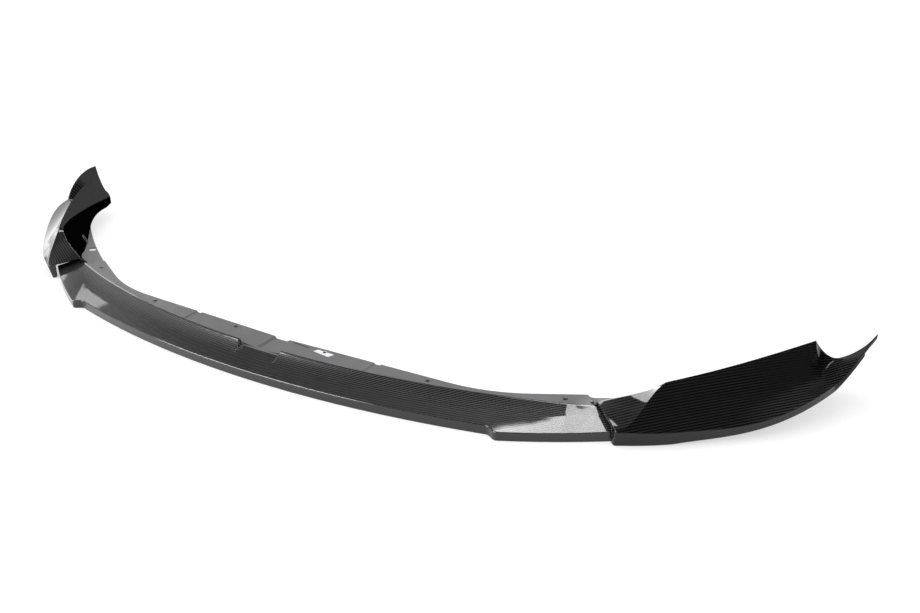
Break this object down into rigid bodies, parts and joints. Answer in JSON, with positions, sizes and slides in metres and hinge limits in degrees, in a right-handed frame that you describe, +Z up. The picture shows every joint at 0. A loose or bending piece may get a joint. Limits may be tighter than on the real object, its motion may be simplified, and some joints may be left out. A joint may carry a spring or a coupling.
{
  "type": "front splitter lip",
  "caption": "Front splitter lip for a car bumper: a bowed centre blade with a drilled flange and an upswept winglet shell lapped onto each end.",
  "frame": {"origin": "bottom centre of the whole lip, on the ground plane it lies on", "axes": "+X across the car to the viewer's right as seen from the front, +Y back towards the wheels, +Z up"},
  "size_m": [1.8616, 0.5087, 0.105],
  "materials": {
    "carbon_centre": "glossy clear coat over woven fibre",
    "carbon_corner": "glossy clear coat over woven fibre",
    "carbon_strip": "dull moulded laminate",
    "clip_steel": "dull grey coating"
  },
  "bodies": {
    "root": {"centre_splitter": "carbon_centre", "right_corner": "carbon_corner", "left_corner": "carbon_corner", "right_strip": "carbon_strip", "left_strip": "carbon_strip", "right_clip": "clip_steel", "left_clip": "clip_steel"}
  },
  "joints": []
}
